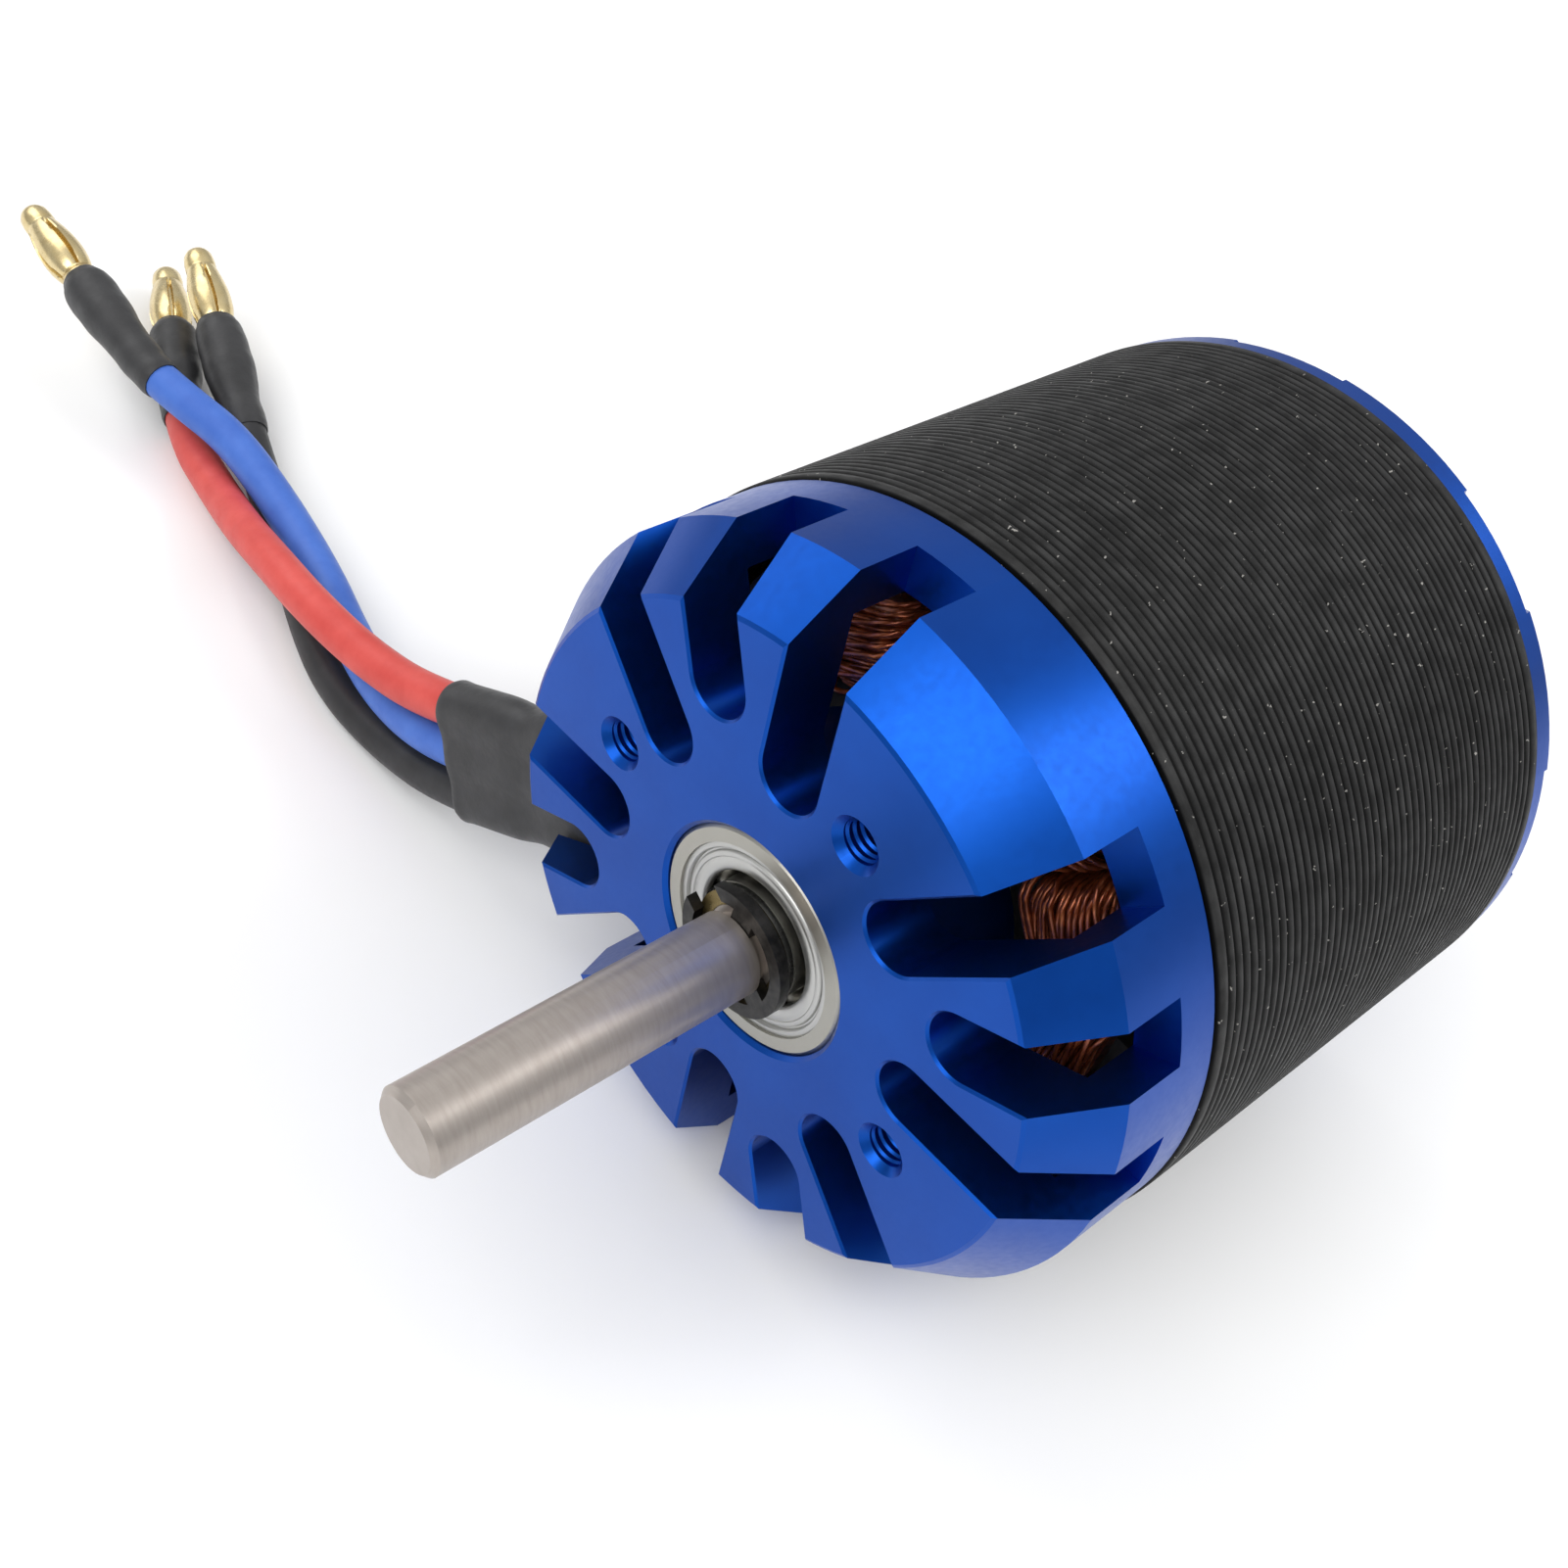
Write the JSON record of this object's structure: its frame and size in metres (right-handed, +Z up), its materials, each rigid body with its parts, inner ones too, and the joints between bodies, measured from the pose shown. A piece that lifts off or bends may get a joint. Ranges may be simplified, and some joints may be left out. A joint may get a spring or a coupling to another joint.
{
  "type": "brushless outrunner motor",
  "caption": "Brushless outrunner motor with a slotted blue front cap, a ribbed black rotating can, a plain output shaft and silicone leads that end in gold bullet plugs.",
  "frame": {"origin": "centre of the front mounting face, on the shaft axis", "axes": "+X along the shaft, out of the mounting face towards the free end; +Z up with the motor lying on its side; the leads leave on the -Y side"},
  "size_m": [0.0696, 0.1188, 0.046],
  "materials": {
    "anodised_blue": "satin anodised blue",
    "stator_steel": "laminated electrical steel",
    "tube_aluminium": "turned",
    "insulation": "fibre board",
    "enamelled_copper": "enamelled copper wire",
    "tail_tubing": "glass-fibre tubing",
    "bearing_steel": "ground",
    "bearing_shield": "pressed steel, satin",
    "ground_steel": "ground and polished",
    "black_ribbed_steel": "blackened steel with fine turned ribs",
    "magnet_nickel": "nickel plated",
    "black_oxide": "black oxide",
    "washer_steel": "bright",
    "washer_bronze": "bronze",
    "heat_shrink": "satin polyolefin sleeve",
    "silicone_red": "satin silicone",
    "silicone_blue": "satin silicone",
    "silicone_black": "satin silicone",
    "gold_plate": "pale gold plate"
  },
  "bodies": {
    "stator": {"front_cap": "anodised_blue", "stator_tube": "tube_aluminium", "stator_core": "stator_steel", "front_insulator": "insulation", "rear_insulator": "insulation", "coil_01": "enamelled_copper", "coil_02": "enamelled_copper", "coil_03": "enamelled_copper", "coil_04": "enamelled_copper", "coil_05": "enamelled_copper", "coil_06": "enamelled_copper", "coil_07": "enamelled_copper", "coil_08": "enamelled_copper", "coil_09": "enamelled_copper", "coil_10": "enamelled_copper", "coil_11": "enamelled_copper", "coil_12": "enamelled_copper", "front_bearing_outer": "bearing_steel", "front_bearing_balls": "bearing_steel", "front_bearing_shields": "bearing_shield", "rear_bearing_outer": "bearing_steel", "rear_bearing_balls": "bearing_steel", "rear_bearing_shields": "bearing_shield", "exit_sleeve": "heat_shrink", "winding_tails": "tail_tubing", "lead_red": "silicone_red", "heat_shrink_red": "heat_shrink", "bullet_plug_red": "gold_plate", "lead_blue": "silicone_blue", "heat_shrink_blue": "heat_shrink", "bullet_plug_blue": "gold_plate", "lead_black": "silicone_black", "heat_shrink_black": "heat_shrink", "bullet_plug_black": "gold_plate"},
    "rotor": {"shaft": "ground_steel", "front_bearing_inner": "bearing_steel", "rear_bearing_inner": "bearing_steel", "steel_washer": "washer_steel", "bronze_washer": "washer_bronze", "retaining_clip": "black_oxide", "rear_spacer": "washer_steel", "rear_bell": "anodised_blue", "flux_ring": "black_ribbed_steel", "grub_screws": "black_oxide", "magnet_01": "magnet_nickel", "magnet_02": "magnet_nickel", "magnet_03": "magnet_nickel", "magnet_04": "magnet_nickel", "magnet_05": "magnet_nickel", "magnet_06": "magnet_nickel", "magnet_07": "magnet_nickel", "magnet_08": "magnet_nickel", "magnet_09": "magnet_nickel", "magnet_10": "magnet_nickel", "magnet_11": "magnet_nickel", "magnet_12": "magnet_nickel", "magnet_13": "magnet_nickel", "magnet_14": "magnet_nickel"}
  },
  "joints": [
    {"name": "rotor_spin", "type": "hinge", "parent": "stator", "child": "rotor", "pos_m": [0, 0, 0], "axis": [1, 0, 0], "continuous": true}
  ]
}
